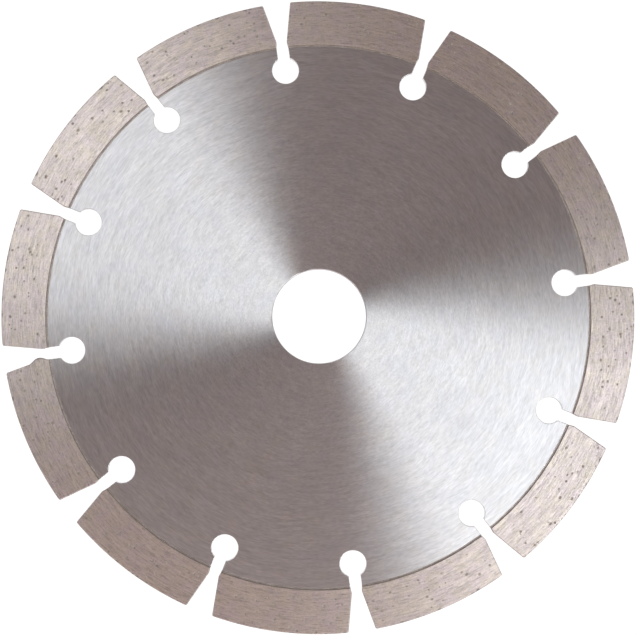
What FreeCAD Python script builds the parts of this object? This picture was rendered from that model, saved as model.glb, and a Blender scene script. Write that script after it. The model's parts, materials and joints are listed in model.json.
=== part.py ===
"""Segmented diamond blade for dry cutting of stone and concrete.

The blade lies flat: its bore runs along +Z, and the origin is the middle of the bore at half the
core's thickness. From the bore outwards it is made of

    steel_core            the disc, with its bore and the keyhole gullets between its teeth
    weld_seam_NN          the fused strip on the rim of each tooth
    segment_foot_NN       the diamond-free layer that is welded to the tooth
    segment_NN            the sintered layer that holds the diamond
    diamond_grit_NN       the crystals that show on that layer's flanks and rim

Each tooth carries one of each of the last four. Tooth 01 is the first one counter-clockwise from
the first gullet. All sizes are in millimetres and degrees.
"""

import FreeCAD, Part
import math
import os
import random
import Sketcher

DRIVING_DIMENSIONS = [
    ("blade_diameter", 150.0, "over the rims of the segments"),
    ("bore_diameter", 22.23, "the standard 7/8 inch arbor"),
    ("core_thickness", 1.8, "of the steel disc"),
    ("segment_thickness", 2.4, "wider than the core, so that the core runs free in the cut"),
    ("tooth_radius", 64.2, "from the axis to the rim of the core"),
    ("gullet_count", 12, "one gullet between each pair of teeth"),
    ("first_gullet_angle", 7.8, "from +X, counter-clockwise"),
    ("slot_width", 2.8, "between the parallel sides of a gullet"),
    ("keyhole_diameter", 6.3, "of the stress-relief hole that a gullet ends in"),
    ("keyhole_ring_diameter", 118.0, "through the centres of those holes"),
    ("bore_edge_break", 0.25, "chamfer around the bore"),
    ("gullet_edge_break", 0.1, "chamfer along the gullets"),
    ("seam_height", 0.45, "of the weld, along the radius"),
    ("seam_recess", 0.05, "of the weld, below each face of the core"),
    ("foot_height", 1.2, "of the diamond-free layer, along the radius"),
    ("segment_root_length", 31.7, "across a segment where it meets its foot"),
    ("segment_rim_length", 32.5, "across a segment at its rim, before its corners are rounded"),
    ("rim_corner_radius", 0.5, "where a segment's ends meet its rim"),
    ("crystal_size", 0.5, "across the square faces of an average diamond crystal"),
    ("crystals_on_flank", 15, "showing on each flank of a segment"),
    ("crystals_on_rim", 8, "showing on the rim of a segment"),
]

SHEET = "Dimensions"
PARTS_FOLDER = "parts"

CUT_OVERRUN = 1.0                # how far a gullet's cut runs past the rim of the core
SAME_LENGTH = 1e-4               # two lengths nearer than this are the same
CRYSTAL_MARGIN = 0.5             # least distance from a crystal's centre to the edges of its face
CRYSTAL_SPACING = 1.1            # least distance between the centres of two crystals, so that none touch
CRYSTAL_DEPTHS = (0.02, 0.16)    # the least and most depth of a crystal's centre below that face
CRYSTAL_SHARES = (0.7, 1.3)      # the smallest and largest crystal, as shares of the average one
OCTAHEDRON_REACH = 0.75          # from a crystal's middle to the octahedron's corners, as a share of its size


# ---------------------------------------------------------------- the sheet and its expressions

def make_sheet(document):
    """Put every driving dimension in a spreadsheet: its name, its value and its meaning."""
    sheet = document.addObject("Spreadsheet::Sheet", SHEET)
    for row, (alias, number, meaning) in enumerate(DRIVING_DIMENSIONS, start=1):
        sheet.set(f"A{row}", alias)
        sheet.set(f"B{row}", str(number))
        sheet.setAlias(f"B{row}", alias)
        sheet.set(f"C{row}", meaning)
    document.recompute()
    return sheet


def cell(alias):
    """The expression that reads one dimension from the sheet."""
    return f"<<{SHEET}>>.{alias}"


def value_of(owner, expression):
    """What an expression comes to now."""
    return float(owner.evalExpression(expression))


BLADE_RADIUS = f"({cell('blade_diameter')} / 2)"
TOOTH_RADIUS = cell("tooth_radius")
SEAM_RADIUS = f"({TOOTH_RADIUS} + {cell('seam_height')})"
FOOT_RADIUS = f"({SEAM_RADIUS} + {cell('foot_height')})"
HALF_ROOT = f"({cell('segment_root_length')} / 2)"
HALF_RIM = f"({cell('segment_rim_length')} / 2)"
HALF_SLOT = f"({cell('slot_width')} / 2)"
SEAM_THICKNESS = f"({cell('core_thickness')} - 2 * {cell('seam_recess')})"


def half_tooth(radius):
    """Half a tooth's width at a radius: its sides are parallel to the middle lines of the gullets."""
    return f"({radius} * sin(180 deg / {cell('gullet_count')} - asin({HALF_SLOT} / {radius})))"


def tooth_direction(number):
    """The angle of a tooth's middle line."""
    return f"{cell('first_gullet_angle')} + ({number} - 0.5) * 360 / {cell('gullet_count')}"


# ---------------------------------------------------------------- sketches and features

ORIGIN = X_AXIS = -1         # how a sketch's constraints name its origin and its horizontal axis
START, END, CENTRE = 1, 2, 3


def origin_feature(body, role):
    """One of a body's own origin planes or axes."""
    return next(feature for feature in body.Origin.OriginFeatures if feature.Role == role)


def new_sketch(body, name):
    """An empty sketch on the body's XY plane, which is the mid-plane of the blade."""
    sketch = body.newObject("Sketcher::SketchObject", name)
    sketch.AttachmentSupport = (origin_feature(body, "XY_Plane"), [""])
    sketch.MapMode = "FlatFace"
    return sketch


def add_arc(sketch, centre_x, radius, first_angle, last_angle):
    """An arc about a point on the sketch's X axis."""
    circle = Part.Circle(FreeCAD.Vector(centre_x, 0, 0), FreeCAD.Vector(0, 0, 1), radius)
    return sketch.addGeometry(Part.ArcOfCircle(circle, first_angle, last_angle), False)


def add_line(sketch, first_point, last_point):
    """A straight edge between two points, each given as x and y."""
    line = Part.LineSegment(FreeCAD.Vector(*first_point, 0), FreeCAD.Vector(*last_point, 0))
    return sketch.addGeometry(line, False)


def join(sketch, first_edge, first_end, second_edge, second_end):
    """Make two ends of edges meet."""
    sketch.addConstraint(Sketcher.Constraint("Coincident", first_edge, first_end, second_edge, second_end))


def dimension(sketch, expression, kind, *where):
    """Give a sketch a dimension that is bound to the sheet."""
    index = sketch.addConstraint(Sketcher.Constraint(kind, *where, value_of(sketch, expression)))
    sketch.setExpression(f"Constraints[{index}]", expression)


def pad_both_ways(body, sketch, name, thickness):
    """Pad a sketch equally to both sides of the mid-plane."""
    pad = body.newObject("PartDesign::Pad", name)
    pad.Profile = sketch
    pad.SideType = "Symmetric"
    pad.setExpression("Length", thickness)
    return pad


def edge_names(feature, wanted):
    """The names of a feature's edges for which wanted(edge) is true."""
    return [f"Edge{number}" for number, edge in enumerate(feature.Shape.Edges, start=1) if wanted(edge)]


def break_edges(body, feature, kind, name, wanted, size_property, size):
    """Add a fillet or a chamfer to the chosen edges of a feature."""
    dress_up = body.newObject(kind, name)
    dress_up.Base = (feature, edge_names(feature, wanted))
    dress_up.setExpression(size_property, size)
    body.Document.recompute()
    return dress_up


def turn_about_bore(piece, direction):
    """Place a piece by a turn about the axis of the bore."""
    piece.Placement = FreeCAD.Placement(FreeCAD.Vector(), FreeCAD.Rotation(FreeCAD.Vector(0, 0, 1), 1.0))
    piece.setExpression("Placement.Rotation.Angle", direction)


# ---------------------------------------------------------------- the core

def disc_sketch(body):
    """The core's rim and its bore."""
    sketch = new_sketch(body, "disc_outline")
    for radius in (TOOTH_RADIUS, f"{cell('bore_diameter')} / 2"):
        circle = Part.Circle(FreeCAD.Vector(), FreeCAD.Vector(0, 0, 1), value_of(sketch, radius))
        edge = sketch.addGeometry(circle, False)
        join(sketch, edge, CENTRE, ORIGIN, START)
        dimension(sketch, radius, "Radius", edge)
    return sketch


def gullet_sketch(body):
    """One gullet along +X: a round hole with a parallel slot that runs out through the rim."""
    sketch = new_sketch(body, "gullet_outline")
    ring_radius = f"{cell('keyhole_ring_diameter')} / 2"
    hole_radius = f"{cell('keyhole_diameter')} / 2"
    past_rim = f"{TOOTH_RADIUS} + {CUT_OVERRUN}"
    centre, radius, half_slot, far = (value_of(sketch, expression)
                                      for expression in (ring_radius, hole_radius, HALF_SLOT, past_rim))
    mouth_angle = math.asin(half_slot / radius)
    mouth = centre + radius * math.cos(mouth_angle)

    hole = add_arc(sketch, centre, radius, mouth_angle, 2 * math.pi - mouth_angle)
    upper_side = add_line(sketch, (mouth, half_slot), (far, half_slot))
    lower_side = add_line(sketch, (mouth, -half_slot), (far, -half_slot))
    closing = add_line(sketch, (far, half_slot), (far, -half_slot))

    join(sketch, upper_side, START, hole, START)
    join(sketch, lower_side, START, hole, END)
    join(sketch, closing, START, upper_side, END)
    join(sketch, closing, END, lower_side, END)
    sketch.addConstraint(Sketcher.Constraint("Horizontal", upper_side))
    sketch.addConstraint(Sketcher.Constraint("Horizontal", lower_side))
    sketch.addConstraint(Sketcher.Constraint("Vertical", closing))
    sketch.addConstraint(Sketcher.Constraint("PointOnObject", hole, CENTRE, X_AXIS))
    dimension(sketch, hole_radius, "Radius", hole)
    dimension(sketch, ring_radius, "DistanceX", ORIGIN, START, hole, CENTRE)
    dimension(sketch, past_rim, "DistanceX", ORIGIN, START, closing, START)
    dimension(sketch, HALF_SLOT, "DistanceY", ORIGIN, START, hole, START)
    dimension(sketch, HALF_SLOT, "DistanceY", hole, END, ORIGIN, START)
    return sketch


def make_core(document):
    """The steel disc: bore, gullets, and a small chamfer on the edges of both."""
    body = document.addObject("PartDesign::Body", "steel_core")
    disc = pad_both_ways(body, disc_sketch(body), "disc", cell("core_thickness"))
    gullet = body.newObject("PartDesign::Pocket", "gullet")
    gullet.Profile = gullet_sketch(body)
    gullet.SideType = "Symmetric"
    gullet.setExpression("Length", f"2 * {cell('core_thickness')}")
    document.recompute()
    if gullet.Shape.Volume >= disc.Shape.Volume:
        raise RuntimeError("the gullet cuts nothing")

    gullets = body.newObject("PartDesign::PolarPattern", "gullets")
    gullets.Originals = [gullet]
    gullets.Axis = (origin_feature(body, "Z_Axis"), [""])
    gullets.Angle = 360
    gullets.setExpression("Occurrences", cell("gullet_count"))
    body.Tip = gullets
    document.recompute()

    bore_radius = value_of(body, f"{cell('bore_diameter')} / 2")
    tooth_radius = value_of(body, TOOTH_RADIUS)

    def has_radius(edge, radius):
        return isinstance(edge.Curve, Part.Circle) and abs(edge.Curve.Radius - radius) < SAME_LENGTH

    def lies_flat(edge):
        return edge.BoundBox.ZLength < SAME_LENGTH

    def on_bore(edge):
        return lies_flat(edge) and has_radius(edge, bore_radius)

    def on_gullet(edge):
        return lies_flat(edge) and not has_radius(edge, bore_radius) and not has_radius(edge, tooth_radius)

    bore_chamfer = break_edges(body, gullets, "PartDesign::Chamfer", "bore_chamfer", on_bore,
                               "Size", cell("bore_edge_break"))
    break_edges(body, bore_chamfer, "PartDesign::Chamfer", "gullet_chamfer", on_gullet,
                "Size", cell("gullet_edge_break"))
    turn_about_bore(body, cell("first_gullet_angle"))
    return body


# ---------------------------------------------------------------- the pieces on each tooth

def sector_sketch(body, inner_radius, outer_radius, inner_half_width, outer_half_width):
    """A piece of ring across local +X: two arcs about the bore, joined by two straight ends."""
    sketch = new_sketch(body, f"{body.Name}_outline")
    corners = []
    arcs = []
    for radius, half_width in ((inner_radius, inner_half_width), (outer_radius, outer_half_width)):
        half_angle = math.asin(value_of(sketch, half_width) / value_of(sketch, radius))
        arc = add_arc(sketch, 0, value_of(sketch, radius), -half_angle, half_angle)
        join(sketch, arc, CENTRE, ORIGIN, START)
        dimension(sketch, radius, "Radius", arc)
        dimension(sketch, half_width, "DistanceY", ORIGIN, START, arc, END)
        dimension(sketch, half_width, "DistanceY", arc, START, ORIGIN, START)
        arcs.append(arc)
        corners.append((value_of(sketch, radius) * math.cos(half_angle), value_of(sketch, half_width)))
    (inner_x, inner_y), (outer_x, outer_y) = corners
    for arc_end, side in ((START, -1), (END, 1)):
        line = add_line(sketch, (inner_x, side * inner_y), (outer_x, side * outer_y))
        join(sketch, line, START, arcs[0], arc_end)
        join(sketch, line, END, arcs[1], arc_end)
    return sketch


def make_seam(document, number):
    """The weld on one tooth: as wide as the tooth, and a little thinner than the core."""
    body = document.addObject("PartDesign::Body", f"weld_seam_{number:02d}")
    sketch = sector_sketch(body, TOOTH_RADIUS, SEAM_RADIUS, half_tooth(TOOTH_RADIUS), half_tooth(SEAM_RADIUS))
    pad_both_ways(body, sketch, f"{body.Name}_pad", SEAM_THICKNESS)
    turn_about_bore(body, tooth_direction(number))
    return body


def make_foot(document, number):
    """The diamond-free layer on one tooth: it widens from the tooth's width to the segment's root."""
    body = document.addObject("PartDesign::Body", f"segment_foot_{number:02d}")
    sketch = sector_sketch(body, SEAM_RADIUS, FOOT_RADIUS, half_tooth(SEAM_RADIUS), HALF_ROOT)
    pad_both_ways(body, sketch, f"{body.Name}_pad", cell("segment_thickness"))
    turn_about_bore(body, tooth_direction(number))
    return body


def make_segment_blank(document):
    """The outer shape that every segment shares, before the crystals are set in it."""
    body = document.addObject("PartDesign::Body", "segment_blank")
    sketch = sector_sketch(body, FOOT_RADIUS, BLADE_RADIUS, HALF_ROOT, HALF_RIM)
    pad = pad_both_ways(body, sketch, f"{body.Name}_pad", cell("segment_thickness"))
    document.recompute()
    middle_of_layer = value_of(body, f"({FOOT_RADIUS} + {BLADE_RADIUS}) / 2")

    def is_rim_corner(edge):
        goes_through = edge.BoundBox.ZLength > SAME_LENGTH
        return goes_through and math.hypot(edge.CenterOfMass.x, edge.CenterOfMass.y) > middle_of_layer

    break_edges(body, pad, "PartDesign::Fillet", "rim_corners", is_rim_corner,
                "Radius", cell("rim_corner_radius"))
    return body


# ---------------------------------------------------------------- diamond crystals

def make_octahedron(reach):
    """A solid whose six corners lie on the axes, all as far from the middle."""
    faces = []
    for x in (-reach, reach):
        for y in (-reach, reach):
            for z in (-reach, reach):
                corners = [FreeCAD.Vector(x, 0, 0), FreeCAD.Vector(0, y, 0), FreeCAD.Vector(0, 0, z)]
                faces.append(Part.Face(Part.makePolygon(corners + corners[:1])))
    shell = Part.makeShell(faces)
    shell.sewShape()
    return Part.makeSolid(shell)


def make_crystal(size):
    """A synthetic diamond: a cube whose corners are cut off by the faces of an octahedron."""
    half = size / 2
    cube = Part.makeBox(size, size, size, FreeCAD.Vector(-half, -half, -half))
    return cube.common(make_octahedron(OCTAHEDRON_REACH * size))


def random_centre(sheet, draw, face):
    """A place for a crystal that shows on one face of a segment, with the segment across local +X."""
    rim = value_of(sheet, BLADE_RADIUS)
    flank = sheet.segment_thickness / 2
    depth = draw.uniform(*CRYSTAL_DEPTHS)
    along = draw.uniform(-1, 1) * (sheet.segment_root_length / 2 - CRYSTAL_MARGIN)
    if face == "rim":
        distance = rim - depth
        z = draw.uniform(-1, 1) * (flank - CRYSTAL_MARGIN)
    else:
        distance = draw.uniform(value_of(sheet, FOOT_RADIUS) + CRYSTAL_MARGIN, rim - CRYSTAL_MARGIN)
        z = flank - depth if face == "front" else depth - flank
    return FreeCAD.Vector(math.sqrt(distance ** 2 - along ** 2), along, z)


def crystal_centres(sheet, draw):
    """Where the crystals of one segment lie, scattered at random but clear of each other."""
    faces = ["front", "back"] * int(sheet.crystals_on_flank) + ["rim"] * int(sheet.crystals_on_rim)
    centres = []
    for face in faces:
        centre = random_centre(sheet, draw, face)
        while any(centre.distanceToPoint(other) < CRYSTAL_SPACING for other in centres):
            centre = random_centre(sheet, draw, face)
        centres.append(centre)
    return centres


def make_crystals(document, sheet, number):
    """The whole crystals of one segment, still standing out of its faces."""
    draw = random.Random(number)
    crystals = []
    for centre in crystal_centres(sheet, draw):
        crystal = make_crystal(sheet.crystal_size * draw.uniform(*CRYSTAL_SHARES))
        turn = FreeCAD.Rotation(*(draw.uniform(0, 360) for _ in range(3)))
        crystal.Placement = FreeCAD.Placement(centre, turn)
        crystals.append(crystal)
    group = document.addObject("Part::Feature", f"whole_crystals_{number:02d}")
    group.Shape = Part.makeCompound(crystals)
    return group


def make_segment_and_grit(document, sheet, blank, number):
    """One working layer with a pocket for each crystal, and the crystals, ground flush with it."""
    crystals = make_crystals(document, sheet, number)
    pieces = []
    for kind, name in (("Part::Cut", "segment"), ("Part::Common", "diamond_grit")):
        piece = document.addObject(kind, f"{name}_{number:02d}")
        piece.Base = blank
        piece.Tool = crystals
        turn_about_bore(piece, tooth_direction(number))
        pieces.append(piece)
    return pieces


# ---------------------------------------------------------------- the whole blade

def make_blade(document):
    """Every piece of the blade, core first."""
    sheet = make_sheet(document)
    blank = make_segment_blank(document)
    pieces = [make_core(document)]
    for number in range(1, int(sheet.gullet_count) + 1):
        pieces.append(make_seam(document, number))
        pieces.append(make_foot(document, number))
        pieces.extend(make_segment_and_grit(document, sheet, blank, number))
    document.recompute()
    for piece in pieces:
        piece.Label = piece.Name
    return sheet, pieces


def check(document, sheet, pieces):
    """Stop if a feature failed, a shape is empty or broken, or crystals have run together."""
    for feature in document.Objects:
        if "Invalid" in feature.State or "Error" in feature.State:
            raise RuntimeError(f"{feature.Label} is {feature.State}")
    crystal_count = 2 * int(sheet.crystals_on_flank) + int(sheet.crystals_on_rim)
    for piece in pieces:
        if piece.Shape.isNull() or not piece.Shape.isValid():
            raise RuntimeError(f"{piece.Label} has no valid shape")
        expected = crystal_count if piece.Label.startswith("diamond_grit") else 1
        if len(piece.Shape.Solids) != expected:
            raise RuntimeError(f"{piece.Label} has {len(piece.Shape.Solids)} solids, not {expected}")


def main():
    """Build the blade, check it and write each piece to a file of its own."""
    document = FreeCAD.newDocument("DiamondBlade")
    sheet, pieces = make_blade(document)
    check(document, sheet, pieces)
    os.makedirs(PARTS_FOLDER, exist_ok=True)
    for piece in pieces:
        piece.Shape.exportStep(os.path.join(PARTS_FOLDER, f"{piece.Label}.step"))
        print(f"{piece.Label}: {piece.Shape.Volume:.3f} mm3")


main()
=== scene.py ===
"""Looks for the segmented diamond blade: meshes, materials, light and camera around the CAD frame.

The blade lies flat with its bore along +Z at the origin. Each tooth of the core carries a weld, a
foot, a segment and a group of crystals. Their sizes are read from the frame's own meshes, so that
each finer mesh made here fills the same space as the CAD node it stands for. Lengths are in metres,
and places inside the materials are in millimetres.
"""

import json
import math

import bpy
import numpy as np
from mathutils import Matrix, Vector
from mathutils.geometry import delaunay_2d_cdt

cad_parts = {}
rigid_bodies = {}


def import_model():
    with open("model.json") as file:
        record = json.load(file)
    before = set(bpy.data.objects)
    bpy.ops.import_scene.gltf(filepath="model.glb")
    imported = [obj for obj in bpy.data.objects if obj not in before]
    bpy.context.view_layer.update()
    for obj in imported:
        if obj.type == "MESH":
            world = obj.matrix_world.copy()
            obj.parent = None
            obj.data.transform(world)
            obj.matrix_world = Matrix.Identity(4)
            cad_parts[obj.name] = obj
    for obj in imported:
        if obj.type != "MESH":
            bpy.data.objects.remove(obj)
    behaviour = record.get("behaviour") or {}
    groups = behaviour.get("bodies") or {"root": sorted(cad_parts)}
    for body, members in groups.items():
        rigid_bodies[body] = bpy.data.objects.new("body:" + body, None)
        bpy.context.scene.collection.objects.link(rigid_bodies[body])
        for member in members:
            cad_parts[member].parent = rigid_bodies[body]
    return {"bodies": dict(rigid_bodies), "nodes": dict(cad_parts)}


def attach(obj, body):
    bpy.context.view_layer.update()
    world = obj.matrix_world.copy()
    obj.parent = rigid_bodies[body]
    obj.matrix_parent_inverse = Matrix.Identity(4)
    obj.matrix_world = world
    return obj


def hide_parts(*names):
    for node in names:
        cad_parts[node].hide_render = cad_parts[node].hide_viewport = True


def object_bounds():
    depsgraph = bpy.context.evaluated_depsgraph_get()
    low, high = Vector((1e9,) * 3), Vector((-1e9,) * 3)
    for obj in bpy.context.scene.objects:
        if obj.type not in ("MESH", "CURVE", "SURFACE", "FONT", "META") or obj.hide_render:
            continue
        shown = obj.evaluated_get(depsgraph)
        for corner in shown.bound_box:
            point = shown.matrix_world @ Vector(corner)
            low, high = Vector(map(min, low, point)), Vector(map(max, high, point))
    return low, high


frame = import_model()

CAD_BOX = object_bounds()
MM = 0.001
SAME = 0.001 * MM                        # places nearer to each other than this are one
SAME_DECIMALS = 7                        # and so are places that agree to this many decimals of a metre
BODY = next(iter(frame["bodies"]))
TOOTH_COUNT = sum(name.startswith("weld_seam_") for name in frame["nodes"])
TOOTH_PITCH = 2 * math.pi / TOOTH_COUNT
BLADE_RADIUS = max(CAD_BOX[1])

CAMERA_DISTANCE = 400 * MM
CAMERA_TILT = (1.2, -1.3, 0.0)           # degrees about X, Y and Z, from looking straight down
VIEW_CENTRE = (-0.27 * MM, -0.225 * MM, 0.0)  # the point in the middle of the view
FRAME_MARGIN = 1.0071                    # the width of the view, over the blade's diameter

CORE_EDGE_SPACING = 0.3 * MM             # between the points along the core's edges
CORE_FLAT_SPACING = 2.5 * MM             # between those over its flats
CORE_ROUNDING_STEPS = 4                  # from a flat to the wall
SHARP_ANGLE = math.radians(30)           # edges that turn by more than this are drawn sharp
FLAT_NORMAL = 0.9999                     # the least Z of a normal that still counts as upright

LEAN_PER_DOUBLING = math.radians(5.0)    # how far the core's grinding lines turn where the radius doubles
LEVEL_RADIUS = 40 * MM                   # where they run straight round the bore

LEAST_DEPTH = 0.012 * MM                 # from the CAD face down to the highest points of a ground flank
HOLLOW_STRETCH = 1.5                     # the length of a pit in a segment, over its width
FULL_SHADE_DEPTH = 0.06 * MM                  # how deep a pit is when its bottom is quite dull and fully darkened with painted shade
EDGE_SHADE_DROP = 0.04 * MM                    # how far a rounded edge has dropped where it is quite dull and fully darkened with painted shade
EDGE_SHADE = 0.5                          # how much painted shade and dullness it gets there, on a scale from 0 to 1
WALL_SHADE = 0.35                         # and how much painted shade and dullness a wall gets
WALL_FADE = 1.5                          # radians of the cosine that fades a wall's grain out at the flanks

TOOTH_WITH_BURR = 7
BURR_RADIUS = BLADE_RADIUS - 7.7 * MM    # the middle of the burr
BURR_REACH = 2.0 * MM                    # from its middle to where it ends, along the radius
BURR_HEIGHT = 0.75 * MM
BURR_START = 0.97                        # the share of a tooth's half-width that it leaves straight

# The pieces that stand in for the nodes on a tooth. edges is the rounding at the inner arc, the outer arc
# and the two ends, and spacing is between the points of a flank, all in millimetres. levels is the number
# of steps that the walls have from front to back.
TOOTH_PIECES = (
    {"node": "weld_seam", "piece": "weld_bead", "slot": "weld_metal",
     "edges": (0.03, 0.03, 0.05), "spacing": 0.07, "levels": 8},
    {"node": "segment_foot", "piece": "foot_layer", "slot": "foot_metal",
     "edges": (0.10, 0.03, 0.18), "spacing": 0.20, "levels": 8},
    {"node": "segment", "piece": "working_layer", "slot": "segment_matrix",
     "edges": (0.03, 0.18, 0.18), "spacing": 0.15, "levels": 9},
)

# The lamps. Azimuth, elevation and half_angle are in degrees, distance and height in metres, and power in
# watts. Two lie across the blade from each other, high up: they make the bright wedges of the core. The
# spill widens the brighter one, and the low lamp lights the rougher segments more than the core.
COOL_LIGHT = (0.908, 0.975, 1.0)
WARM_LIGHT = (1.0, 0.85, 0.8)
LAMPS = {
    "key_softbox": {"azimuth": 330.7, "elevation": 60, "distance": 0.9, "half_angle": 30.8, "height": 0.35,
                    "power": 2.3, "colour": COOL_LIGHT},
    "key_spill": {"azimuth": 333.5, "elevation": 50, "distance": 0.9, "half_angle": 45.0, "height": 0.35,
                  "power": 1.65, "colour": COOL_LIGHT},
    "fill_softbox": {"azimuth": 150.6, "elevation": 60, "distance": 0.9, "half_angle": 33.6, "height": 0.35,
                     "power": 1.6, "colour": COOL_LIGHT},
    "low_softbox": {"azimuth": 258, "elevation": 35, "distance": 0.45, "half_angle": 54, "height": 0.3,
                    "power": 0.98, "colour": WARM_LIGHT},
}
FLOOR_REACH = 4.0                        # metres from the bore to each side of the floor


# ---------------------------------------------------------------- reading the frame

def node_points(name):
    """The vertices of a CAD node: one row of x, y, z for each."""
    mesh = frame["nodes"][name].data
    points = np.empty(len(mesh.vertices) * 3)
    mesh.vertices.foreach_get("co", points)
    return points.reshape(-1, 3)


def turned(points, angle):
    """Points turned about the axis of the bore."""
    x, y, z = points.T
    return np.column_stack((x * math.cos(angle) - y * math.sin(angle),
                            x * math.sin(angle) + y * math.cos(angle), z))


def tooth_direction(number):
    """The angle of a tooth's middle line, from the two ends of its weld."""
    points = node_points(f"weld_seam_{number:02d}")
    rough = math.atan2(points[:, 1].mean(), points[:, 0].mean())
    x, y, _ = turned(points, -rough).T
    angles = np.arctan2(y, x)
    return rough + (angles.min() + angles.max()) / 2


def sector_of(name, direction):
    """The outline of a CAD node on a tooth: radii, half-widths at them, and half-thickness."""
    x, y, z = turned(node_points(name), -direction).T
    radii = np.hypot(x, y)
    on_arc = 0.01 * MM
    inner = radii.min()
    outer = radii.max()
    return {
        "inner_radius": inner,
        "outer_radius": outer,
        "inner_half_width": np.abs(y[radii < inner + on_arc]).max(),
        "outer_half_width": np.abs(y[radii > outer - on_arc]).max(),
        "widest": np.abs(y).max(),
        "half_thickness": z.max(),
    }


def crystal_places(name, direction):
    """The middle of each crystal of a CAD group: its place along the tooth, its radius and its height.

    The points of one crystal are those that triangles join: each takes over the lowest number among its
    neighbours until nothing changes.
    """
    mesh = frame["nodes"][name].data
    mesh.calc_loop_triangles()
    corners = np.array([triangle.vertices for triangle in mesh.loop_triangles])
    points, shared = np.unique(node_points(name).round(SAME_DECIMALS), axis=0, return_inverse=True)
    corners = shared.ravel()[corners]
    crystal = np.arange(len(points))
    changing = True
    while changing:
        before = crystal.copy()
        np.minimum.at(crystal, corners, before[corners].min(axis=1)[:, None])
        changing = (crystal != before).any()
    middles = np.array([points[crystal == number].mean(axis=0) for number in np.unique(crystal)])
    x, y, z = turned(middles, -direction).T
    return np.column_stack((y, np.hypot(x, y), z))


def circle_through(points):
    """The circle that passes nearest to some points: how far along X its centre is, and its radius."""
    system = np.column_stack((2 * points, np.ones(len(points))))
    x, y, rest = np.linalg.lstsq(system, (points ** 2).sum(axis=1), rcond=None)[0]
    return x, math.sqrt(rest + x ** 2 + y ** 2)


def core_sizes():
    """The core's sizes, from the walls of its bore and of the gullet before the first tooth."""
    first_gullet = tooth_direction(1) - TOOTH_PITCH / 2
    x, y, z = turned(node_points("steel_core"), -first_gullet).T
    radii = np.hypot(x, y)
    half_thickness = z.max()
    bore_radius = radii.min()
    rim_radius = radii.max()
    on_face = z > half_thickness - SAME
    near_gullet = (x > rim_radius / 2) & (np.abs(y) < rim_radius / TOOTH_COUNT)
    in_gullet = near_gullet & (np.abs(z) < half_thickness - SAME)
    widest_x = x[in_gullet][np.abs(y[in_gullet]).argmax()]
    inner_half = in_gullet & (x < widest_x + SAME)
    hole_distance, hole_radius = circle_through(np.column_stack((x, y))[inner_half])
    at_rim = (x > 0) & (radii > rim_radius - SAME)
    slot_half_width = np.abs(y[at_rim & in_gullet]).min()
    return {
        "first_gullet": first_gullet,
        "half_thickness": half_thickness,
        "bore_radius": bore_radius,
        "bore_break": radii[on_face].min() - bore_radius,
        "rim_radius": rim_radius,
        "slot_half_width": slot_half_width,
        "gullet_break": np.abs(y[at_rim & on_face]).min() - slot_half_width,
        "hole_distance": hole_distance,
        "hole_radius": hole_radius,
    }


# ---------------------------------------------------------------- the core's mesh

def arc(centre, radius, first, last, spacing):
    """Points along an arc about a point on the X axis. The angles are in radians."""
    count = max(2, round(abs(last - first) * radius / spacing))
    angles = np.linspace(first, last, count + 1)
    return np.column_stack((centre + radius * np.cos(angles), radius * np.sin(angles)))


def around(points, first_angle):
    """Copies of some points of the plane, one for each tooth, turned about the bore."""
    solid = np.column_stack((points, np.zeros(len(points))))
    angles = first_angle + np.arange(TOOTH_COUNT) * TOOTH_PITCH
    return np.concatenate([turned(solid, angle)[:, :2] for angle in angles])


def core_outline(sizes):
    """The core's outer edge, counter-clockwise: each gullet, and the rim of the tooth that follows it."""
    spacing = CORE_EDGE_SPACING
    half_slot = sizes["slot_half_width"]
    mouth_angle = math.asin(half_slot / sizes["hole_radius"])
    mouth = sizes["hole_distance"] + sizes["hole_radius"] * math.cos(mouth_angle)
    rim_angle = math.asin(half_slot / sizes["rim_radius"])
    rim_end = sizes["rim_radius"] * math.cos(rim_angle)
    side = np.linspace(rim_end, mouth, round((rim_end - mouth) / spacing) + 1)
    inwards = np.column_stack((side, np.full_like(side, -half_slot)))
    hole = arc(sizes["hole_distance"], sizes["hole_radius"],
               -mouth_angle, mouth_angle - 2 * math.pi, spacing)
    rim = arc(0.0, sizes["rim_radius"], rim_angle, TOOTH_PITCH - rim_angle, spacing)
    outwards = inwards[::-1] * (1, -1)
    stretches = [stretch[:-1] for stretch in (inwards, hole, outwards, rim)]
    return around(np.concatenate(stretches), sizes["first_gullet"])


def inset(loop, distance):
    """A closed outline moved to its left, which is into the steel."""
    ahead = np.roll(loop, -1, axis=0) - loop
    left = np.column_stack((-ahead[:, 1], ahead[:, 0])) / np.hypot(*ahead.T)[:, None]
    mitre = left + np.roll(left, 1, axis=0)
    return loop + mitre * (2 * distance / (mitre ** 2).sum(axis=1))[:, None]


def flat_points(sizes):
    """Points spread over the flat of the core, clear of its edges."""
    spacing = CORE_FLAT_SPACING
    rings = []
    for radius in np.arange(sizes["bore_radius"] + spacing, sizes["rim_radius"] - spacing / 2, spacing):
        beside_holes = radius > sizes["hole_distance"] - sizes["hole_radius"] - spacing
        margin = math.asin((sizes["hole_radius"] + spacing) / radius) if beside_holes else 0.0
        ring = arc(0.0, radius, margin, TOOTH_PITCH - margin, spacing)
        rings.append(ring if beside_holes else ring[:-1])
    return around(np.concatenate(rings), sizes["first_gullet"])


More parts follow.
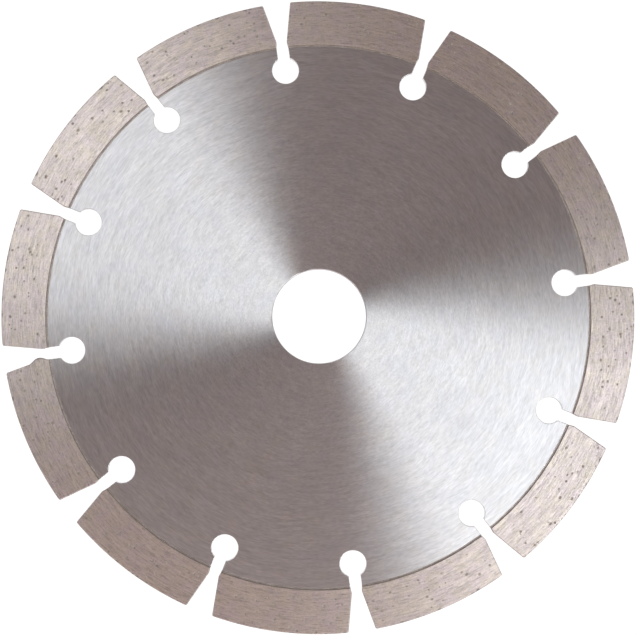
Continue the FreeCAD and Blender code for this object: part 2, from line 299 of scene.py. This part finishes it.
def triangulate(loops, inner_points, bore_radius):
    """Triangles over the plane between the outlines, as rows of numbers of the points."""
    points = np.concatenate(loops + [inner_points])
    edges = []
    start = 0
    for loop in loops:
        numbers = start + np.arange(len(loop))
        edges.extend(np.column_stack((numbers, np.roll(numbers, -1))).tolist())
        start += len(loop)
    # The bore's outline gets filled as well, so triangles with their middle in the bore are left out.
    inside_constraints = 1
    places, _, triangles, originals, _, _ = delaunay_2d_cdt(
        [Vector(point) for point in points], edges, [], inside_constraints, SAME / 10)
    kept = [triangle for triangle in triangles
            if sum((places[corner] for corner in triangle), Vector((0.0, 0.0))).length / 3 > bore_radius]
    return [[originals[corner][0] for corner in triangle] for triangle in kept]


def edge_profile(break_size, half_thickness):
    """Round an edge from front to back: how far inside the outline each row of points is, and its height."""
    quarter = np.linspace(0, math.pi / 2, CORE_ROUNDING_STEPS + 1)[1:]
    front = [(break_size * (1 - math.sin(angle)), half_thickness - break_size * (1 - math.cos(angle)))
             for angle in quarter]
    return front + [(depth, -z) for depth, z in reversed(front)]


def wall_faces(rows):
    """Four-sided faces between each closed row of point numbers and the next."""
    return np.concatenate([np.column_stack((upper, lower, np.roll(lower, -1), np.roll(upper, -1)))
                           for upper, lower in zip(rows, rows[1:])])


def make_core_mesh(name):
    """The core: flat on both sides, with edges rounded as deep as the chamfers of its CAD node."""
    sizes = core_sizes()
    half = sizes["half_thickness"]
    bore = arc(0.0, sizes["bore_radius"], 0.0, -2 * math.pi, CORE_EDGE_SPACING)[:-1]
    outlines = ((core_outline(sizes), sizes["gullet_break"]), (bore, sizes["bore_break"]))
    loops = [inset(outline, break_size) for outline, break_size in outlines]
    inner_points = flat_points(sizes)
    flat = np.concatenate(loops + [inner_points])
    triangles = triangulate(loops, inner_points, sizes["bore_radius"])
    points = [np.column_stack((flat, np.full(len(flat), z))) for z in (half, -half)]
    faces = triangles + [[corner + len(flat) for corner in reversed(triangle)] for triangle in triangles]
    next_point = 2 * len(flat)
    next_loop = 0
    for outline, break_size in outlines:
        on_loop = np.arange(len(outline))
        rows = [on_loop + next_loop]
        for depth, z in edge_profile(break_size, half):
            points.append(np.column_stack((inset(outline, depth), np.full(len(outline), z))))
            rows.append(on_loop + next_point)
            next_point += len(outline)
        rows.append(on_loop + next_loop + len(flat))
        next_loop += len(outline)
        faces.extend(wall_faces(rows).tolist())
    piece = new_piece(name, np.concatenate(points), faces)
    # This call makes every face smooth, so the flats are set after it.
    piece.data.set_sharp_from_angle(angle=SHARP_ANGLE)
    is_flat = [abs(polygon.normal.z) > FLAT_NORMAL for polygon in piece.data.polygons]
    piece.data.polygons.foreach_set("use_smooth", [not flag for flag in is_flat])
    return piece


# ---------------------------------------------------------------- meshes of the pieces on a tooth

def graded(length, edge, spacing, steps):
    """Places from 0 to length: some steps over a rounded edge at each end, and an even spacing between."""
    rounded = [edge * (1 - math.cos(math.pi / 2 * step / steps)) for step in range(steps)]
    middle = np.linspace(edge, length - edge, max(2, round((length - 2 * edge) / spacing) + 1))
    return np.concatenate((rounded, middle, [length - place for place in reversed(rounded)]))


def rounding(distance, radius):
    """How far a rounded edge has dropped at a distance from it."""
    inside = np.clip(1 - distance / radius, 0, 1)
    return radius * (1 - np.sqrt(1 - inside ** 2))


def build_slab(name, sector, direction, kind, relief, burr):
    """A closed piece of ring with rounded edges and an uneven surface, for one kind of TOOTH_PIECES.

    relief(along, radius, z, side) gives the depth of the surface below the CAD face, and how much painted
    shade
    and dullness it gets there, from 0 to 1: side is 1 on the front flank, -1 on the back one and 0 on the
    walls between them.
    burr(radius) gives how far the clockwise end stands out.
    """
    inner_edge, outer_edge, end_edge = [edge * MM for edge in kind["edges"]]
    spacing = kind["spacing"] * MM
    levels = kind["levels"]
    height = sector["outer_radius"] - sector["inner_radius"]
    widest = sector["widest"]
    corner = widest - sector["outer_half_width"]
    across = graded(height, max(inner_edge, outer_edge), spacing, steps=4) / height
    along = graded(2 * widest, max(end_edge, corner), spacing, steps=8) / widest - 1
    grid_along, grid_across = np.meshgrid(along, across)

    def place(along, across, z, sunk_end, sunk_rim):
        """Points of the slab, from their places in the grid, and with each its distance along and radius."""
        half_width = sector["inner_half_width"] + (widest - sector["inner_half_width"]) * across
        at_burr_end = np.clip((-along - BURR_START) / (1 - BURR_START), 0, 1) ** 2
        burr_height = burr(sector["inner_radius"] + across * height)
        y = along * (half_width - sunk_end) - at_burr_end * burr_height
        into_corner = np.clip(np.abs(y) - (widest - corner), 0, corner)
        outer = sector["outer_radius"] - (corner - np.sqrt(corner ** 2 - into_corner ** 2))
        radius = sector["inner_radius"] + across * (outer - sector["inner_radius"]) - sunk_rim
        x = np.sqrt(radius ** 2 - y ** 2)
        return turned(np.column_stack((x.ravel(), y.ravel(), z.ravel())), direction), y, radius

    _, y, radius = place(grid_along, grid_across, 0 * grid_along, 0, 0)
    drop = rounding((1 - np.abs(grid_along)) * widest, end_edge)
    drop = np.maximum(drop, rounding(grid_across * height, inner_edge))
    drop = np.maximum(drop, rounding((1 - grid_across) * height, outer_edge))
    flanks = []
    shade_and_dullness = []
    for side in (1, -1):
        depth, shaded = relief(y, radius, 0 * y, side)
        z = side * (sector["half_thickness"] - drop - depth)
        flanks.append(place(grid_along, grid_across, z, 0, 0)[0])
        # The flanks' hollows and rounded edges get painted shade: their colour is darkened by this share.
        shade_and_dullness.append(np.maximum(shaded, EDGE_SHADE * np.clip(drop / EDGE_SHADE_DROP, 0, 1)).ravel())

    rows, columns = grid_along.shape
    index = np.arange(rows * columns).reshape(rows, columns)
    loop = np.concatenate((index[:-1, 0], index[-1, :-1], index[:0:-1, -1], index[0, :0:-1]))
    loop_along = grid_along.ravel()[loop]
    loop_across = grid_across.ravel()[loop]
    front, back = (flank[loop][:, 2] for flank in flanks)
    wall_rings = []
    for level in range(1, levels):
        z = front + (back - front) * level / levels
        _, y, radius = place(loop_along, loop_across, z, 0, 0)
        depth, shaded = relief(y, radius, z, 0)
        sunk_end = np.where(np.abs(loop_along) == 1, depth, 0)
        sunk_rim = np.where(loop_across == 1, depth, np.where(loop_across == 0, -depth, 0))
        wall_rings.append(place(loop_along, loop_across, z, sunk_end, sunk_rim)[0])
        # The walls get painted shade as well.
        shade_and_dullness.append(shaded)

    points = np.concatenate(flanks + wall_rings)
    back_start = rows * columns
    walls_start = 2 * back_start
    rings = [walls_start + ring * len(loop) + np.arange(len(loop)) for ring in range(levels - 1)]
    front_faces = np.column_stack((index[:-1, :-1].ravel(), index[1:, :-1].ravel(),
                                   index[1:, 1:].ravel(), index[:-1, 1:].ravel()))
    back_faces = front_faces[:, ::-1] + back_start
    faces = np.concatenate((front_faces, back_faces, wall_faces([loop] + rings + [loop + back_start])))
    piece = new_piece(name, points, faces.tolist())
    # The share of painted shade and dullness at each point, read by the material.
    piece.data.attributes.new("shade_and_dullness", "FLOAT", "POINT").data.foreach_set("value", np.concatenate(shade_and_dullness))
    return piece


def new_piece(name, points, faces):
    """A smooth-shaded mesh object in the scene."""
    mesh = bpy.data.meshes.new(name)
    mesh.from_pydata(points.tolist(), [], faces)
    mesh.polygons.foreach_set("use_smooth", [True] * len(mesh.polygons))
    mesh.validate()
    piece = bpy.data.objects.new(name, mesh)
    bpy.context.scene.collection.objects.link(piece)
    return piece


# ---------------------------------------------------------------- surface relief

def waves(draw, count, along_period, across_period, depth):
    """An uneven surface, from 0 to depth deep: the mean of some waves that run along the piece, at a lean."""
    low, high = across_period
    across = 2 * math.pi / draw.uniform(low, high, count)
    lean = 2 * math.pi / along_period * draw.uniform(-1, 1, count)
    phase = draw.uniform(0, 2 * math.pi, count)

    def height(along, radius):
        total = sum(np.cos(across[i] * radius + lean[i] * along + phase[i]) for i in range(count))
        return depth * (0.5 + 0.5 * total / count)

    return height


def hollows(draw, places, size, depth):
    """Small rounded hollows, drawn out along the piece: one at each place, between two sizes and depths."""
    sizes = draw.uniform(*size, len(places))
    depths = draw.uniform(*depth, len(places))

    def height(along, radius):
        total = np.zeros_like(along)
        for (y, r), wide, deep in zip(places, sizes, depths):
            distance = np.hypot((along - y) / HOLLOW_STRETCH, radius - r) / wide
            total = np.maximum(total, deep * np.exp(-distance ** 4))
        return total

    return height


def scattered(draw, count, half_width, radii):
    """Random places on a flank, as distance along the piece and radius: between two radii, or at one."""
    along = half_width * draw.uniform(-1, 1, count)
    if np.isscalar(radii):
        return np.column_stack((along, np.full(count, radii)))
    return np.column_stack((along, draw.uniform(*radii, count)))


def sintered_relief(draw, sector, crystals):
    """A ground, sintered piece: ridges, pits, chipped edges and a hollow round each crystal; hollows and
    walls get painted shade.
    """
    ridges = waves(draw, count=10, along_period=60 * MM, across_period=(0.5 * MM, 2.0 * MM), depth=0.012 * MM)
    pit_count, chip_count = 14, 9
    pit_radii = sector["inner_radius"] + 0.4 * MM, sector["outer_radius"] - 0.3 * MM
    chips = scattered(draw, chip_count, sector["widest"], sector["outer_radius"])
    broken = {}
    for side in (1, -1):
        held = crystals[crystals[:, 2] * side > sector["half_thickness"] / 2][:, :2]
        pits = scattered(draw, pit_count, sector["widest"], pit_radii)
        broken[side] = (
            hollows(draw, pits, size=(0.10 * MM, 0.22 * MM), depth=(0.03 * MM, 0.08 * MM)),
            hollows(draw, chips, size=(0.15 * MM, 0.4 * MM), depth=(0.04 * MM, 0.12 * MM)),
            hollows(draw, held, size=(0.18 * MM, 0.30 * MM), depth=(0.005 * MM, 0.06 * MM)),
        )
    grain = waves(draw, count=12, along_period=1.5 * MM, across_period=(0.6 * MM, 2.5 * MM), depth=0.08 * MM)

    def relief(along, radius, z, side):
        if side == 0:
            faded = np.cos(z / sector["half_thickness"] * WALL_FADE) ** 2
            rough = grain(along + z, radius + 2 * z) * faded
            # A wall gets an even share of painted shade and dullness.
            return LEAST_DEPTH + rough, np.full_like(rough, WALL_SHADE)
        hollow = np.max([height(along, radius) for height in broken[side]], axis=0)
        # The deeper a hollow, the darker its painted shade and the duller it is.
        return LEAST_DEPTH + np.maximum(ridges(along, radius), hollow), np.clip(hollow / FULL_SHADE_DEPTH, 0, 1)

    return relief


def foot_relief(draw):
    """A ground, dense flank with nothing broken out of it."""
    ridges = waves(draw, count=8, along_period=60 * MM, across_period=(0.3 * MM, 1.2 * MM), depth=0.012 * MM)

    def relief(along, radius, z, side):
        depth = LEAST_DEPTH + (ridges(along, radius) if side else 0 * along)
        # Its walls get painted shade and dullness, its flanks none.
        return depth, np.full_like(depth, 0 if side else WALL_SHADE)

    return relief


def smooth_end(radius):
    """The end of nearly every tooth: nothing stands out from it."""
    return 0 * radius


def end_with_burr(radius):
    """A smear of metal that stands out from the end of one tooth."""
    off_middle = np.clip((radius - BURR_RADIUS) / BURR_REACH, -1, 1)
    return BURR_HEIGHT * (1 - off_middle ** 2) ** 1.5


def weld_relief(draw, sector):
    """A laser weld: overlapping melt pools that follow each other along the seam."""
    pitch = 0.42 * MM
    least = 0.01 * MM
    groove_depth = 0.022 * MM
    edge_depth = 0.03 * MM
    phases = {side: draw.uniform(0, 1) for side in (1, -1)}
    wander = waves(draw, count=5, along_period=4 * MM, across_period=(2 * MM, 6 * MM), depth=0.03 * MM)
    middle = (sector["inner_radius"] + sector["outer_radius"]) / 2
    half_height = (sector["outer_radius"] - sector["inner_radius"]) / 2

    def relief(along, radius, z, side):
        """off_pool is 0 in the middle of a pool and 0.5 where two meet, on a line bowed by half a pitch."""
        clean = 0 * along
        if side == 0:
            return least + clean, clean
        off_middle = (radius - middle) / half_height
        bowed = along + 0.5 * pitch * off_middle ** 2
        off_pool = np.abs((bowed / pitch + phases[side]) % 1.0 - 0.5)
        return least + groove_depth * off_pool + edge_depth * off_middle ** 2 + wander(along, radius), clean

    return relief


def relief_for(node_kind, draw, sector, crystals):
    """The surface of one kind of piece on a tooth."""
    if node_kind == "weld_seam":
        return weld_relief(draw, sector)
    if node_kind == "segment_foot":
        return foot_relief(draw)
    return sintered_relief(draw, sector, crystals)


# ---------------------------------------------------------------- node trees

class Graph:
    """A material's or a world's node tree, with a short call for each kind of node used here."""

    def __init__(self, tree):
        self.tree = tree
        self.tree.nodes.clear()

    def node(self, kind, inputs=None, **settings):
        """Add a node. inputs maps a socket's name or number to a value or to another node's output."""
        node = self.tree.nodes.new(kind)
        for name, value in settings.items():
            setattr(node, name, value)
        for name, value in (inputs or {}).items():
            if isinstance(value, bpy.types.NodeSocket):
                self.tree.links.new(value, node.inputs[name])
            else:
                node.inputs[name].default_value = value
        return node

    def math(self, operation, first, second=0.0):
        return self.node("ShaderNodeMath", {0: first, 1: second}, operation=operation).outputs[0]

    def vector(self, operation, first, second=(0.0, 0.0, 0.0)):
        return self.node("ShaderNodeVectorMath", {0: first, 1: second}, operation=operation).outputs[0]

    def combine(self, x, y, z):
        return self.node("ShaderNodeCombineXYZ", {0: x, 1: y, 2: z}).outputs[0]

    def noise(self, vector, detail=2.0, roughness=0.5):
        inputs = {"Vector": vector, "Scale": 1.0, "Detail": detail, "Roughness": roughness}
        return self.node("ShaderNodeTexNoise", inputs).outputs["Fac"]

    def patches(self, place, per_millimetre, **settings):
        """Noise about a place in millimetres: per_millimetre is how finely it changes along X, Y and Z."""
        return self.noise(self.vector("MULTIPLY", place, per_millimetre), **settings)

    def mixed(self, *shares):
        """The sum of some values, each times its share."""
        parts = [self.math("MULTIPLY", value, share) for value, share in shares]
        total = parts[0]
        for part in parts[1:]:
            total = self.math("ADD", total, part)
        return total

    def spread(self, value, source, target=(0.0, 1.0)):
        """Stretch one range of values to another, without going past its ends."""
        inputs = {"Value": value, 1: source[0], 2: source[1], 3: target[0], 4: target[1]}
        return self.node("ShaderNodeMapRange", inputs).outputs[0]

    def blend(self, factor, first, second):
        """A colour between two others."""
        node = self.node("ShaderNodeMix", data_type="RGBA")
        for socket, value in zip((node.inputs[0], node.inputs[6], node.inputs[7]), (factor, first, second)):
            if isinstance(value, bpy.types.NodeSocket):
                self.tree.links.new(value, socket)
            else:
                socket.default_value = value
        return node.outputs[2]

    def multiply(self, first, second):
        """One colour times another."""
        node = self.node("ShaderNodeMix", data_type="RGBA", blend_type="MULTIPLY")
        node.inputs[0].default_value = 1.0
        self.tree.links.new(first, node.inputs[6])
        self.tree.links.new(second, node.inputs[7])
        return node.outputs[2]

    def bump(self, height, depth):
        """A normal from a height between 0 and 1 and the depth it stands for, in metres."""
        inputs = {"Height": height, "Distance": depth, "Strength": 1.0}
        return self.node("ShaderNodeBump", inputs).outputs[0]

    def finish(self, shader, kind="ShaderNodeOutputMaterial"):
        self.node(kind, {"Surface": shader})


NEARLY_ALL = (0.3, 0.7)                  # the range of nearly all of a noise's values
MOST = (0.35, 0.65)                      # the range of most of them
ARC_NOISE_PER_Z = 9.0                    # how finely noise along arcs changes in a millimetre of height
RISE_OF_GLOSS = 0.05                     # the share of Z in the way the gloss spreads: only walls show it


def rgb(red, green, blue):
    """An opaque colour."""
    return (red, green, blue, 1.0)


def new_material(name):
    """An empty material and its graph."""
    material = bpy.data.materials.new(name)
    material.use_nodes = True
    return material, Graph(material.node_tree)


def polar(graph):
    """Where a point is about the bore: its place in millimetres, its radius, and the way outwards."""
    place = graph.node("ShaderNodeTexCoord").outputs["Object"]
    place = graph.vector("MULTIPLY", place, (1 / MM,) * 3)
    flat = graph.vector("MULTIPLY", place, (1.0, 1.0, 0.0))
    outwards = graph.vector("NORMALIZE", flat)
    radius = graph.node("ShaderNodeVectorMath", {0: flat}, operation="LENGTH").outputs["Value"]
    return place, radius, outwards


def gloss_direction(graph, outwards):
    """The way the gloss spreads: outwards on the flats, and along Z on the walls of bore and rim."""
    return graph.vector("NORMALIZE", graph.vector("ADD", outwards, (0.0, 0.0, RISE_OF_GLOSS)))


def arc_noise(graph, radius, outwards, place, per_radian, pitch, **settings):
    """Noise drawn out along arcs about the bore: pitch is its size along the radius, in millimetres."""
    x, y, _ = graph.node("ShaderNodeSeparateXYZ", {0: outwards}).outputs
    z = graph.node("ShaderNodeSeparateXYZ", {0: place}).outputs[2]
    along_x = graph.math("MULTIPLY", x, per_radian)
    along_y = graph.math("MULTIPLY", y, per_radian)
    deeper = graph.math("MULTIPLY", z, ARC_NOISE_PER_Z)
    across = graph.math("ADD", graph.math("DIVIDE", radius, pitch), deeper)
    return graph.noise(graph.combine(along_x, along_y, across), **settings)


# ---------------------------------------------------------------- materials

def tinted(graph, colour, place, per_millimetre, cool, warm):
    """A colour with faint cool and warm patches, as a film of oil or heat leaves on bare metal."""
    patches = graph.patches(place, (per_millimetre,) * 3, detail=4.0, roughness=0.6)
    return graph.multiply(colour, graph.blend(graph.spread(patches, MOST), cool, warm))


def ground_steel():
    """The core: bare steel ground in circles, so that its gloss spreads outwards from the bore."""
    material, graph = new_material("ground_steel")
    place, radius, outwards = polar(graph)

    stray = 3.0
    wobble = graph.math("MULTIPLY", graph.patches(place, (0.05, 0.05, 0.5)), stray)
    lines = graph.math("ADD", radius, wobble)
    coarse = arc_noise(graph, lines, outwards, place, per_radian=9.0, pitch=0.7, detail=3.0, roughness=0.6)
    fine = arc_noise(graph, lines, outwards, place, per_radian=36.0, pitch=0.26)
    marks = graph.mixed((coarse, 0.5), (fine, 0.5))
    stains = arc_noise(graph, radius, outwards, place, per_radian=3.0, pitch=6.0, detail=3.0)

    dark, light, stained = rgb(0.50, 0.495, 0.50), rgb(0.77, 0.765, 0.775), rgb(0.54, 0.52, 0.53)
    colour = graph.blend(graph.spread(marks, NEARLY_ALL), dark, light)
    colour = graph.blend(graph.spread(stains, (0.35, 0.7), (0.0, 0.25)), colour, stained)
    cool, warm = rgb(0.97, 0.965, 0.99), rgb(1.0, 0.975, 0.965)
    colour = tinted(graph, colour, place, per_millimetre=0.22, cool=cool, warm=warm)

    # Below about 0.28 the denoiser takes the steel for a mirror, and leaves a crackled pattern on it.
    roughness = graph.spread(marks, NEARLY_ALL, (0.295, 0.315))
    duller_at_bore = graph.spread(radius, (14.0, 40.0), (0.035, 0.0))

    doublings = graph.math("LOGARITHM", graph.math("DIVIDE", radius, LEVEL_RADIUS / MM), 2.0)
    lean = graph.math("MULTIPLY", doublings, LEAN_PER_DOUBLING)
    straight = gloss_direction(graph, outwards)
    turn = {"Vector": straight, "Angle": lean}
    leaning = graph.node("ShaderNodeVectorRotate", turn, rotation_type="Z_AXIS")

    shader = graph.node("ShaderNodeBsdfPrincipled", {
        "Base Color": colour,
        "Metallic": 1.0,
        "Roughness": graph.math("ADD", roughness, duller_at_bore),
        "Anisotropic": 1.0,
        "Tangent": leaning.outputs[0],
        "Normal": graph.bump(marks, depth=0.012 * MM),
    })
    graph.finish(shader.outputs[0])
    return material


def sintered_metal(name, dark, light):
    """Pressed and sintered powder, ground along its length: grain, scratches, and painted shade on dull
    hollows, walls, edges.
    """
    scratch_darkness, scratch_height = 0.5, 0.3
    shade_darkness, dull_roughness = 0.85, 0.2
    material, graph = new_material(name)
    place, radius, outwards = polar(graph)
    shade_and_dullness = graph.node("ShaderNodeAttribute", attribute_name="shade_and_dullness").outputs["Fac"]

    lines = arc_noise(graph, radius, outwards, place, per_radian=18.0, pitch=0.32, detail=3.0, roughness=0.6)
    bands = arc_noise(graph, radius, outwards, place, per_radian=8.0, pitch=1.1)
    grain = graph.patches(place, (2.4, 2.4, 2.4), detail=4.0, roughness=0.65)
    marks = graph.mixed((lines, 0.45), (bands, 0.17), (grain, 0.38))
    deep = arc_noise(graph, radius, outwards, place, per_radian=40.0, pitch=0.26, detail=1.0)
    scratches = graph.spread(deep, (0.54, 0.72))

    colour = graph.blend(graph.spread(marks, (0.36, 0.64)), dark, light)
    cool, warm = rgb(0.975, 0.94, 0.985), rgb(1.0, 0.985, 0.92)
    colour = tinted(graph, colour, place, per_millimetre=0.35, cool=cool, warm=warm)
    scratched, shaded = rgb(0.30, 0.26, 0.24), rgb(0.22, 0.192, 0.168)
    colour = graph.blend(graph.math("MULTIPLY", scratches, scratch_darkness), colour, scratched)
    # Painted shade: the hollows, walls and rounded edges that the mesh marks are darkened towards this
    # colour.
    colour = graph.blend(graph.math("MULTIPLY", shade_and_dullness, shade_darkness), colour, shaded)

    roughness = graph.spread(marks, (0.34, 0.66), (0.55, 0.415))
    height = graph.math("SUBTRACT", marks, graph.math("MULTIPLY", scratches, scratch_height))
    shader = graph.node("ShaderNodeBsdfPrincipled", {
        "Base Color": colour,
        "Metallic": graph.spread(shade_and_dullness, (0.0, 1.0), (1.0, 0.5)),
        "Roughness": graph.math("ADD", roughness, graph.math("MULTIPLY", shade_and_dullness, dull_roughness)),
        "Anisotropic": 0.85,
        "Tangent": gloss_direction(graph, outwards),
        "Normal": graph.bump(height, depth=0.024 * MM),
    })
    graph.finish(shader.outputs[0])
    return material


def weld_metal():
    """The weld: dull, dark and heat-tinted, with its melt pools in the mesh."""
    material, graph = new_material("weld_metal")
    place, _, outwards = polar(graph)
    tint = graph.patches(place, (0.6, 0.6, 0.6), detail=3.0)
    soot = graph.patches(place, (5.0, 5.0, 5.0), detail=3.0)
    dark, light, sooty = rgb(0.41, 0.355, 0.32), rgb(0.61, 0.54, 0.50), rgb(0.20, 0.165, 0.15)
    colour = graph.blend(graph.spread(tint, MOST), dark, light)
    colour = graph.blend(graph.spread(soot, (0.42, 0.66), (0.0, 0.7)), colour, sooty)
    shader = graph.node("ShaderNodeBsdfPrincipled", {
        "Base Color": colour,
        "Metallic": 0.8,
        "Anisotropic": 0.7,
        "Tangent": gloss_direction(graph, outwards),
        "Roughness": graph.spread(soot, NEARLY_ALL, (0.5, 0.65)),
        "Normal": graph.bump(soot, depth=0.02 * MM),
    })
    graph.finish(shader.outputs[0])
    return material


def diamond():
    """Saw-grade crystals: warm grey and cloudy, some darker than others."""
    material, graph = new_material("saw_diamond")
    place, _, _ = polar(graph)
    each = graph.patches(place, (0.7, 0.7, 0.7))
    cloud = graph.patches(place, (6.0, 6.0, 6.0), detail=4.0)
    dark, light, cloudy = rgb(0.12, 0.11, 0.093), rgb(0.30, 0.273, 0.23), rgb(0.09, 0.082, 0.07)
    colour = graph.blend(graph.spread(each, MOST), dark, light)
    colour = graph.blend(graph.spread(cloud, (0.5, 0.75), (0.0, 0.5)), colour, cloudy)
    shader = graph.node("ShaderNodeBsdfPrincipled", {
        "Base Color": colour,
        "Roughness": graph.spread(cloud, NEARLY_ALL, (0.6, 0.85)),
        "IOR": 2.4,
        "Specular IOR Level": 0.7,
        "Specular Tint": rgb(1.0, 0.86, 0.78),
        "Normal": graph.bump(cloud, depth=0.01 * MM),
    })
    graph.finish(shader.outputs[0])
    return material


# ---------------------------------------------------------------- the pieces

def paint(piece, material):
    """Give a piece one material."""
    piece.data.materials.clear()
    piece.data.materials.append(material)


def repaint_node(name, material):
    """Give a CAD node that stays in view a better material."""
    for slot in frame["nodes"][name].material_slots:
        slot.link = "OBJECT"
        slot.material = material


def stand_in(piece, node, material):
    """Let a finer mesh stand for a CAD node."""
    paint(piece, material)
    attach(piece, BODY)
    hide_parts(node)


def make_tooth_pieces(number, materials):
    """The weld, the foot and the segment on one tooth."""
    direction = tooth_direction(number)
    crystals = crystal_places(f"diamond_grit_{number:02d}", direction)
    burr = end_with_burr if number == TOOTH_WITH_BURR else smooth_end
    for kind in TOOTH_PIECES:
        node = f"{kind['node']}_{number:02d}"
        draw = np.random.default_rng([number, kind["levels"], len(kind["node"])])
        sector = sector_of(node, direction)
        relief = relief_for(kind["node"], draw, sector, crystals)
        piece = build_slab(f"{kind['piece']}_{number:02d}", sector, direction, kind, relief, burr)
        stand_in(piece, node, materials[kind["slot"]])


def make_pieces():
    """Every piece of the blade."""
    foot_dark, foot_light = rgb(0.535, 0.485, 0.461), rgb(0.85, 0.77, 0.735)
    matrix_dark, matrix_light = rgb(0.525, 0.475, 0.453), rgb(0.83, 0.753, 0.722)
    materials = {
        "core_steel": ground_steel(),
        "weld_metal": weld_metal(),
        "foot_metal": sintered_metal("foot_metal", foot_dark, foot_light),
        "segment_matrix": sintered_metal("segment_matrix", matrix_dark, matrix_light),
        "diamond": diamond(),
    }
    stand_in(make_core_mesh("core_disc"), "steel_core", materials["core_steel"])
    for number in range(1, TOOTH_COUNT + 1):
        make_tooth_pieces(number, materials)
        repaint_node(f"diamond_grit_{number:02d}", materials["diamond"])


# ---------------------------------------------------------------- studio

def add_softbox(name, azimuth, elevation, distance, half_angle, height, power, colour):
    """A soft lamp that spans half_angle to each side of its azimuth, as the blade sees it."""
    flat_distance = distance * math.cos(math.radians(elevation))
    lamp = bpy.data.lights.new(name, "AREA")
    lamp.shape = "RECTANGLE"
    lamp.size = 2 * flat_distance * math.tan(math.radians(half_angle))
    lamp.size_y = height
    lamp.energy = power
    lamp.color = colour
    box = bpy.data.objects.new(name, lamp)
    bpy.context.scene.collection.objects.link(box)
    box.location = (flat_distance * math.cos(math.radians(azimuth)),
                    flat_distance * math.sin(math.radians(azimuth)),
                    distance * math.sin(math.radians(elevation)))
    box.rotation_euler = (-box.location).to_track_quat("-Z", "Y").to_euler()


def make_floor():
    """A plain, pale floor that the blade's segments rest on."""
    z = CAD_BOX[0][2]
    corner_signs = ((-1, -1), (1, -1), (1, 1), (-1, 1))
    corners = [(x * FLOOR_REACH, y * FLOOR_REACH, z) for x, y in corner_signs]
    mesh = bpy.data.meshes.new("floor")
    mesh.from_pydata(corners, [], [(0, 1, 2, 3)])
    floor = bpy.data.objects.new("floor", mesh)
    bpy.context.scene.collection.objects.link(floor)
    material, graph = new_material("pale_floor")
    shader = graph.node("ShaderNodeBsdfPrincipled", {
        "Base Color": rgb(0.1, 0.1, 0.1), "Roughness": 0.9, "Specular IOR Level": 0.0,
        "Emission Color": rgb(1.0, 1.0, 1.0), "Emission Strength": 1.0,
    })
    graph.finish(shader.outputs[0])
    paint(floor, material)


def make_world():
    """Dim, warm surroundings for reflections, and white behind the blade."""
    world = bpy.data.worlds.new("studio")
    bpy.context.scene.world = world
    world.use_nodes = True
    graph = Graph(world.node_tree)
    seen = graph.node("ShaderNodeLightPath").outputs["Is Camera Ray"]
    warm, white = rgb(0.265, 0.22, 0.209), rgb(1.0, 1.0, 1.0)
    colour = graph.blend(seen, warm, white)
    graph.finish(graph.node("ShaderNodeBackground", {"Color": colour}).outputs[0], "ShaderNodeOutputWorld")


def make_camera():
    """A camera above the blade, leaning a little towards -X and -Y, with the blade filling its frame."""
    data = bpy.data.cameras.new("camera")
    frame_width = 2 * BLADE_RADIUS * FRAME_MARGIN
    data.lens = data.sensor_width * CAMERA_DISTANCE / frame_width
    data.clip_start = 10 * MM
    camera = bpy.data.objects.new("camera", data)
    bpy.context.scene.collection.objects.link(camera)
    camera.rotation_euler = [math.radians(angle) for angle in CAMERA_TILT]
    backwards = camera.rotation_euler.to_matrix() @ Vector((0, 0, CAMERA_DISTANCE))
    camera.location = Vector(VIEW_CENTRE) + backwards
    bpy.context.scene.camera = camera


def make_studio():
    """Floor, surroundings, lamps and camera."""
    make_floor()
    make_world()
    for name, lamp in LAMPS.items():
        add_softbox(name, **lamp)
    make_camera()
    bpy.context.scene.view_settings.view_transform = "Standard"


make_pieces()
make_studio()
